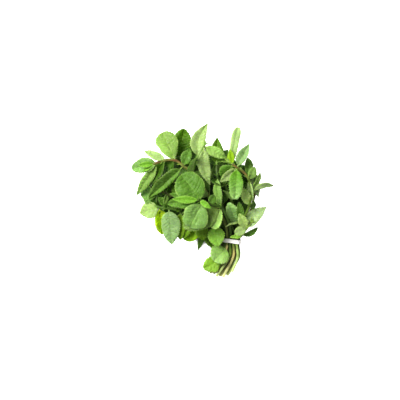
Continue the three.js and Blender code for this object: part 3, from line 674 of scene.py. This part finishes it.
def catmullRom(points, t):  # the smooth curve through a stem's points, as the solids have it
    last = len(points) - 1
    reach = min(max(t, 0), 1) * last
    i = min(int(reach), last - 1)
    w = reach - i
    before = points[i - 1] if i > 0 else points[0] * 2 - points[1]
    after = points[i + 2] if i + 2 <= last else points[last] * 2 - points[last - 1]
    a, b = points[i], points[i + 1]
    startWay, endWay = (b - before) * 0.5, (after - a) * 0.5
    return (a + startWay * w + (a * -3 + b * 3 - startWay * 2 - endWay) * w ** 2
            + (a * 2 - b * 2 + startWay + endWay) * w ** 3)


def stemSweep(name, route):
    f, own = stemSkinForm, sprigs[name]
    around = f["around"]
    end = route[-1] + (route[-1] - route[-2]).normalized() * stemForm["bud"]
    points = route + [end]
    reaches = len(points) - 1
    ts = []
    for i in range(reaches):
        steps = max(2, math.ceil((points[i + 1] - points[i]).length / f["ringEvery"]))
        ts += [(i + k / steps) / reaches for k in range(steps)]
    ts.append(1)
    angles = np.arange(around) / around * 2 * math.pi
    cosine, sine = np.cos(angles), np.sin(angles)
    power = f["squareness"]
    square = math.sqrt(0.5) / (np.abs(cosine) ** power + np.abs(sine) ** power) ** (1 / power)
    square *= 1 - f["groove"] * (np.cos(4 * angles) * 0.5 + 0.5)
    joints = [route[jointIndex(name, k + 1)] for k in range(len(own["joints"]))]
    inBand = len(own["below"]) / reaches
    cutSkin, pith = linear(f["cutSkin"]), linear(f["pithColour"])
    green, brown, straw = (linear(own[key]) for key in ("green", "brown", "straw"))
    verts, tints, faces = [], [], []
    ringA = np.arange(around)
    ringB = (ringA + 1) % around
    side = bandAcross.copy()
    for ring, t in enumerate(ts):
        here = catmullRom(points, t)
        tangent = (catmullRom(points, t + 1e-3) - catmullRom(points, t - 1e-3)).normalized()
        side = (side - tangent * side.dot(tangent)).normalized()
        other = tangent.cross(side)
        near = min((here - joint).length for joint in joints)
        node = math.exp(-(near / f["swellingLength"]) ** 2)
        radius = stemForm["buttRadius"] + (stemForm["tipRadius"] - stemForm["buttRadius"]) * t * t
        radius *= 1 + f["swelling"] * node
        left = (end - here).length
        if left < stemForm["bud"]:
            radius *= max(math.sqrt(left / stemForm["bud"]), f["leastBud"])
        if ring == 0:
            radius *= f["inset"]
        aside = cosine[:, None] * np.array(side) + sine[:, None] * np.array(other)
        verts.append(np.array(here) + radius * square[:, None] * aside)
        onBrown = own["brownShare"] * np.clip((t - own["brownFrom"]) / f["brownFade"], 0, 1)
        onBrown = onBrown * (0.55 + 0.45 * np.sin(angles + f["brownTwist"] * t))
        belowBand = np.clip((inBand - t) / f["strawFade"], 0, 1)
        tint = green * (1 - onBrown[:, None]) + brown * onBrown[:, None]
        patches = 1 + f["patches"] * ripple(t * f["patchesAlong"], own["slot"][0] + np.sin(angles))[:, None]
        toCut = np.clip(f["cutReach"] - t * reaches, 0, 1) * f["cutShare"]
        tint = tint * (1 - belowBand) + (straw * (1 - toCut) + cutSkin * toCut) * belowBand * patches
        tint = tint * (1 - f["jointShade"] * node) * looks.uniform(*f["lightness"])
        tints.append(tint)
        if ring:
            wall = np.stack([ringA, ringB, ringB + around, ringA + around], axis=1)
            faces += (wall + (ring - 1) * around).tolist()
        else:
            cutWay, cutHere = np.array(tangent), np.array(here)
    # the cut end: a ring of skin, then the hollowed pith
    count = len(ts) * around
    rim = verts[0]
    inner = cutHere + (rim - cutHere) * f["inset"] * f["skinRing"] + cutWay * f["sunk"]
    core = cutHere + (rim - cutHere) * f["pith"] + cutWay * f["dish"] * 0.5
    verts += [inner, core, (cutHere + cutWay * f["dish"])[None, :]]
    tints += [np.repeat((pith * f["rimShare"])[None, :], around, 0),
              np.repeat(pith[None, :], around, 0), pith[None, :] * f["middleShare"]]
    faces += np.stack([ringA, ringA + count, ringB + count, ringB], axis=1).tolist()
    coreA, coreB = ringA + count + around, ringB + count + around
    faces += np.stack([ringA + count, coreA, coreB, ringB + count], axis=1).tolist()
    centre = count + 2 * around
    faces += [[a, centre, b] for a, b in zip(coreA, coreB)]
    last = (len(ts) - 1) * around
    faces.append([last + k for k in range(around)])
    finish = [0] * last + [1] * (3 * around) + [0]
    tints = np.concatenate([np.atleast_2d(t) for t in tints])
    tints = np.concatenate([tints, np.ones((len(tints), 1))], axis=1)
    return dict(points=np.concatenate(verts), faces=faces, tint=tints, finish=finish)


# Small leaves at the tips and at the joints.
youngForm = dict(slimness=0.42, shape=dict(bend=25, fold=22, point=0.8, wave=0.2), tipTurn=15,
                 lengthSpread=(0.85, 1.15), tipFoot=0.6, sproutTurn=20, sproutLength=(5, 8),
                 sproutOpens=(0.4, 0.7), sproutFoot=1.2)


def youngLeaves(name, route):
    f, own = youngForm, sprigs[name]
    specs = []

    def small(base, way, out, length, opens):
        direction = (way * math.cos(opens) + out * math.sin(opens)).normalized()
        face = (way * math.sin(opens) - out * math.cos(opens)).normalized()
        specs.append(dict(plainLeaf, base=base, tip=base + direction * length, normal=face,
                          width=length * f["slimness"], tone=own["youngTone"], **f["shape"]))

    way, flat = waysAt(route, len(route) - 1)
    for k, (length, opens) in enumerate(own["tips"]):
        for turn in (0, 180):
            out = turnedAbout(flat, way, turn + 90 * k + looks.uniform(-f["tipTurn"], f["tipTurn"]))
            grown = length * looks.uniform(*f["lengthSpread"])
            small(route[-1] + way * (f["tipFoot"] + k), way, out, grown, opens)
    for k in own.get("sprouts", range(2, len(own["joints"]))):
        i = jointIndex(name, k)
        way, flat = waysAt(route, i)
        for turn in (0, 180):
            swing = looks.uniform(-f["sproutTurn"], f["sproutTurn"])
            out = turnedAbout(flat, way, turn + 90 * (k % 2) + swing)
            length, opens = looks.uniform(*f["sproutLength"]), looks.uniform(*f["sproutOpens"])
            small(route[i] + way * f["sproutFoot"], way, out, length, opens)
    return specs


bandForm = dict(ribs=6, ribHeight=0.14, arcSteps=7, every=0.8, wobble=0.22, edgeSteps=4,
                breadth=0.96, colour=(250, 246, 243))


# The line that the band's inside follows round the stems, stretched over their outermost corners.
def bandPath():
    right = []
    for row in range(3):
        outer = max(plan["slot"][0] for plan in sprigs.values() if plan["slot"][1] == row)
        x = outer * slotPitch + halfSide
        right += [(x, rowUp(row) + side) for side in (-halfSide, halfSide)]
    corners = [Vector(p) for p in right] + [Vector((-x, y)) for x, y in reversed(right)]
    n = len(corners)
    hull = [c for i, c in enumerate(corners)
            if (c - corners[i - 1]).cross(corners[(i + 1) % n] - c) > 1e-9]
    path = []
    n = len(hull)
    onward = [hull[(i + 1) % n] - c for i, c in enumerate(hull)]
    outward = [math.atan2(-way.x, way.y) for way in onward]
    for i, corner in enumerate(hull):
        start, stop = outward[i - 1], outward[i]
        while stop < start:
            stop += 2 * math.pi
        for k in range(bandForm["arcSteps"] + 1):
            angle = start + (stop - start) * k / bandForm["arcSteps"]
            path.append((corner, Vector((math.cos(angle), math.sin(angle)))))
        onto = hull[(i + 1) % n]
        steps = max(1, int((onto - corner).length / bandForm["every"]))
        for k in range(1, steps):
            path.append((corner.lerp(onto, k / steps), Vector((math.cos(stop), math.sin(stop)))))
    return path


# Round the section: (distance along the stems, distance out from the stems), ribbed outside.
def bandSection():
    half, wall, edge = bandTie["height"] / 2, bandTie["wall"], bandTie["wall"] / 2
    ribs, flat, outer = bandForm["ribs"], 2 * half - 2 * edge, []
    for k in range(ribs * 4 + 1):
        groove = 1 - abs(math.sin(math.pi * ribs * k / (ribs * 4)))
        outer.append((edge - half + flat * k / (ribs * 4), wall - bandForm["ribHeight"] * groove))
    side = [(half - edge + edge * math.sin(a), edge + edge * math.cos(a))
            for a in np.linspace(0, math.pi, bandForm["edgeSteps"] + 2)[1:-1]]
    inner = [(half - edge - flat * k / 4, 0) for k in range(5)]
    return outer + side + inner + [(-y, r) for y, r in reversed(side)]


def bandSweep():
    path, section = bandPath(), bandSection()
    verts = []
    for i, (corner, out) in enumerate(path):
        around = i / len(path) * 2 * math.pi
        slip = bandForm["wobble"] * (math.sin(2 * around + 0.7) + 0.4 * math.sin(5 * around))
        for y, r in section:
            reach = corner + out * (bandTie["gap"] + r)
            at = bandAcross * reach.x + up * reach.y + bandAlong * (y * bandForm["breadth"] + slip)
            verts.append(Vector((*bandTie["middle"], 0)) + at)
    n, m = len(path), len(section)
    faces = [[i * m + k, i * m + (k + 1) % m, (i + 1) % n * m + (k + 1) % m, (i + 1) % n * m + k]
             for i in range(n) for k in range(m)]
    points = np.array([tuple(v) for v in verts])
    points[:, 2] = np.maximum(points[:, 2], 0)
    white = np.array([*linear(bandForm["colour"]), 1])
    return dict(points=points, faces=faces, tint=np.repeat(white[None, :], len(points), 0))


def fill(tree, node, inputs):  # sockets are linked, values are set
    for key, value in inputs.items():
        if isinstance(value, bpy.types.NodeSocket):
            tree.links.new(value, node.inputs[key])
        else:
            node.inputs[key].default_value = value
    return node


def newNode(tree, kind, inputs=None, **settings):
    made = tree.nodes.new("ShaderNode" + kind)
    for key, value in settings.items():
        setattr(made, key, value)
    return fill(tree, made, inputs or {})


def mathNode(tree, operation, *values):
    return newNode(tree, "Math", dict(enumerate(values)), operation=operation).outputs[0]


def stepNode(tree, value, low, high, bottom=0.0, top=1.0):
    inputs = {"Value": value, "From Min": low, "From Max": high, "To Min": bottom, "To Max": top}
    return newNode(tree, "MapRange", inputs, interpolation_type="SMOOTHSTEP").outputs[0]


def mixNode(tree, factor, a, b, blend="MIX"):
    return newNode(tree, "Mix", {0: factor, 6: a, 7: b}, data_type="RGBA", blend_type=blend).outputs[2]


def newGroup(name, inputs, outputs):
    group = bpy.data.node_groups.new(name, "ShaderNodeTree")
    for end, sockets in (("INPUT", inputs), ("OUTPUT", outputs)):
        for label, kind in sockets.items():
            group.interface.new_socket(label, in_out=end, socket_type="NodeSocket" + kind)
    return group, group.nodes.new("NodeGroupInput"), group.nodes.new("NodeGroupOutput")


# How wide the veins are, and the net between them.
veinForm = dict(midrib=(0.006, 0.03), side=(0.03, 0.13), net=0.14, netShare=0.55, netScale=420)


# From a leaf's own coordinates: its midrib, side veins and the net between them.
def makeVeins():
    group, given, made = newGroup("leafVeins", {"Leaf": "Vector", "Surface": "Vector", "Pairs": "Float"},
                                  {"Vein": "Float", "Height": "Float", "Cell": "Float"})
    parts = newNode(group, "SeparateXYZ", {0: given.outputs["Leaf"]})
    across = mathNode(group, "ABSOLUTE", mathNode(group, "SUBTRACT", parts.outputs[1], 0.5))
    row = mathNode(group, "MULTIPLY", parts.outputs[0], given.outputs["Pairs"])
    nearSide = mathNode(group, "PINGPONG", row, 0.5)
    sideVein = stepNode(group, nearSide, *veinForm["side"], 1, 0)
    midrib = stepNode(group, across, *veinForm["midrib"], 1, 0)
    netPlace = {"Vector": given.outputs["Surface"], "Scale": veinForm["netScale"]}
    net = newNode(group, "TexVoronoi", netPlace, feature="DISTANCE_TO_EDGE")
    netVein = stepNode(group, net.outputs["Distance"], 0, veinForm["net"], veinForm["netShare"], 0)
    cells = newNode(group, "TexVoronoi", netPlace)
    shade = newNode(group, "SeparateColor", {0: cells.outputs["Color"]})
    vein = mathNode(group, "MAXIMUM", mathNode(group, "MAXIMUM", sideVein, midrib), netVein)
    height = mathNode(group, "SUBTRACT", 1.0, vein)
    fill(group, made, {"Vein": vein, "Height": height, "Cell": shade.outputs[0]})
    return group


# A slow change of lightness with a fine grain on it.
def makeMottle():
    inputs = {"Colour": "Color", "Surface": "Vector", "Size": "Float", "Amount": "Float"}
    group, given, made = newGroup("mottle", inputs, {"Colour": "Color", "Mask": "Float"})
    grain = {"Vector": given.outputs["Surface"], "Scale": given.outputs["Size"], "Detail": 5.0,
             "Roughness": 0.6}
    noise = newNode(group, "TexNoise", grain)
    swing = mathNode(group, "MULTIPLY", mathNode(group, "SUBTRACT", noise.outputs[0], 0.5),
                     mathNode(group, "MULTIPLY", given.outputs["Amount"], 4.0))
    gain = mathNode(group, "ADD", swing, 1.0)
    grey = newNode(group, "CombineColor", {0: gain, 1: gain, 2: gain})
    colour = mixNode(group, 1.0, given.outputs["Colour"], grey.outputs[0], "MULTIPLY")
    fill(group, made, {"Colour": colour, "Mask": noise.outputs[0]})
    return group


def newMaterial(name):
    material = bpy.data.materials.new(name)
    material.use_nodes = True
    return material, material.node_tree, material.node_tree.nodes["Principled BSDF"]


# Mottling, gloss and bump, and for the faces of a leaf the colour and share of its veins, and of the paler
# colour laid over the underside.
finishes = {
    "leafUpper": dict(grain=90, amount=0.1, roughness=(0.34, 0.48), specular=0.22, bump=0.6, depth=0.0004,
                      veinColour=(158, 192, 92), veinShare=0.17),
    "leafUnder": dict(grain=90, amount=0.1, roughness=(0.54, 0.68), specular=0.22, bump=0.7, depth=0.0004,
                      veinColour=(180, 206, 124), veinShare=0.4, paleColour=(164, 194, 112), paleShare=0.6),
    "stemSkin": dict(grain=260, amount=0.16, roughness=(0.42, 0.6), specular=0.25, bump=0.35, depth=0.0005),
    "cutFace": dict(grain=900, amount=0.2, roughness=0.7, specular=0.5, bump=0.5, depth=0.0003),
    "elastic": dict(grain=500, amount=0.05, roughness=(0.5, 0.68), specular=0.5, bump=0.3, depth=0.0003),
}
leafCells = (0.93, 1.07)  # how the small fields between the veins differ
leafDepth = {"Subsurface Weight": 0.3, "Subsurface Radius": (0.6, 1.0, 0.2), "Subsurface Scale": 0.0015}


def makeMaterial(name):
    finish = finishes[name]
    underside = "paleColour" in finish
    material, tree, shader = newMaterial(name)
    tint = newNode(tree, "Attribute", attribute_name="tint").outputs["Color"]
    surface = newNode(tree, "TexCoord").outputs["Object"]
    if underside:
        tint = mixNode(tree, finish["paleShare"], tint, (*linear(finish["paleColour"]), 1))
    grain = {"Colour": tint, "Surface": surface, "Size": finish["grain"], "Amount": finish["amount"]}
    mottled = newNode(tree, "Group", grain, node_tree=mottle)
    colour, height = mottled.outputs["Colour"], mottled.outputs["Mask"]
    gloss = finish["roughness"]
    if isinstance(gloss, tuple):
        gloss = stepNode(tree, height, 0.3, 0.7, *gloss)
    if "veinColour" in finish:
        pairs = newNode(tree, "Attribute", attribute_name="veins").outputs["Fac"]
        own = newNode(tree, "UVMap", uv_map="leaf").outputs[0]
        inputs = {"Leaf": own, "Surface": surface, "Pairs": pairs}
        veins = newNode(tree, "Group", inputs, node_tree=leafVeins)
        cell = stepNode(tree, veins.outputs["Cell"], 0, 1, *leafCells)
        grey = newNode(tree, "CombineColor", {0: cell, 1: cell, 2: cell}).outputs[0]
        quilted = mixNode(tree, 1.0, colour, grey, "MULTIPLY")
        veinMask = mathNode(tree, "MULTIPLY", veins.outputs["Vein"], finish["veinShare"])
        colour = mixNode(tree, veinMask, quilted, (*linear(finish["veinColour"]), 1))
        height = veins.outputs["Height"]
        fill(tree, shader, leafDepth)
    relief = {"Height": height, "Strength": finish["bump"], "Distance": finish["depth"]}
    bump = newNode(tree, "Bump", relief, invert=underside)
    fill(tree, shader, {"Base Color": colour, "Roughness": gloss, "Specular IOR Level": finish["specular"],
                        "Normal": bump.outputs[0]})
    return material


leafVeins, mottle = makeVeins(), makeMottle()
leafUpper, leafUnder, stemSkin, cutFace, elastic = (makeMaterial(name) for name in finishes)
print("materials made")

draw = mulberry(drawSeed)
for name in sprigs:
    route = routeOf(sprigs[name])
    specs = leavesOf(name, route, draw)
    foliage(name, specs + youngLeaves(name, route))
    meshPiece(f"stem_{name}", stemSweep(name, route), [stemSkin, cutFace], f"sprig_{name}")
    print(f"sprig {name}: {len(specs)} leaves")
meshPiece("elastic_band", bandSweep(), [elastic], "band")
print("band made")

# The floor glows only where nothing covers it, and less for light that bounces than for the camera. Where
# the bunch covers it, its colour turns dark green as painted shade.
studio = dict(floor=8.0, floorColour=(200, 200, 198), coveredShadeColour=(70, 84, 48), floorRoughness=0.9,
              coverReach=0.07, coverShare=(0.25, 0.46), coverSamples=48, floorGlow=0.9, bounceShare=0.45,
              sky=0.285, skySeen=1, lampSize=0.8,
              lamps={"key": (29, (-0.75, 0.55, 1.15)), "fill": (2, (0.9, -0.3, 0.9))},
              camera=(-0.00325, 0.0013, 1.53), lens=106.08, exposure=0.5, gamma=0.82)

bpy.ops.mesh.primitive_plane_add(size=studio["floor"], location=(0, 0, -0.0003))
floor = bpy.context.object
floor.name = "floor"
paper, tree, shader = newMaterial("paleFloor")
cover = {"Distance": studio["coverReach"]}
covered = newNode(tree, "AmbientOcclusion", cover, samples=studio["coverSamples"])
clear = stepNode(tree, covered.outputs["AO"], *studio["coverShare"])
seen = newNode(tree, "LightPath").outputs["Is Camera Ray"]
glow = stepNode(tree, seen, 0, 1, studio["floorGlow"] * studio["bounceShare"], studio["floorGlow"])
colours = [(*linear(studio[key]), 1) for key in ("coveredShadeColour", "floorColour")]
ground, strength = mixNode(tree, clear, *colours), mathNode(tree, "MULTIPLY", clear, glow)
fill(tree, shader, {"Base Color": ground, "Roughness": studio["floorRoughness"],
                    "Emission Color": (1, 1, 1, 1), "Emission Strength": strength})
floor.data.materials.append(paper)

scene.world = scene.world or bpy.data.worlds.new("studio")
scene.world.use_nodes = True
sky = scene.world.node_tree
skySeen = newNode(sky, "LightPath").outputs["Is Camera Ray"]
skyGlow = stepNode(sky, skySeen, 0, 1, studio["sky"], studio["skySeen"])
fill(sky, sky.nodes["Background"], {"Color": (1, 1, 1, 1), "Strength": skyGlow})
for name, (power, spot) in studio["lamps"].items():
    light = bpy.data.lights.new(name, "AREA")
    light.size, light.energy = studio["lampSize"], power
    lamp = added(name, light)
    lamp.location = spot
    lamp.rotation_euler = (-Vector(spot)).to_track_quat("-Z", "Y").to_euler()

view = bpy.data.cameras.new("camera")
view.lens = studio["lens"]
camera = added("camera", view)
camera.location = studio["camera"]
scene.camera = camera
scene.view_settings.view_transform = "Standard"
scene.view_settings.exposure = studio["exposure"]
scene.view_settings.gamma = studio["gamma"]
print("studio made")
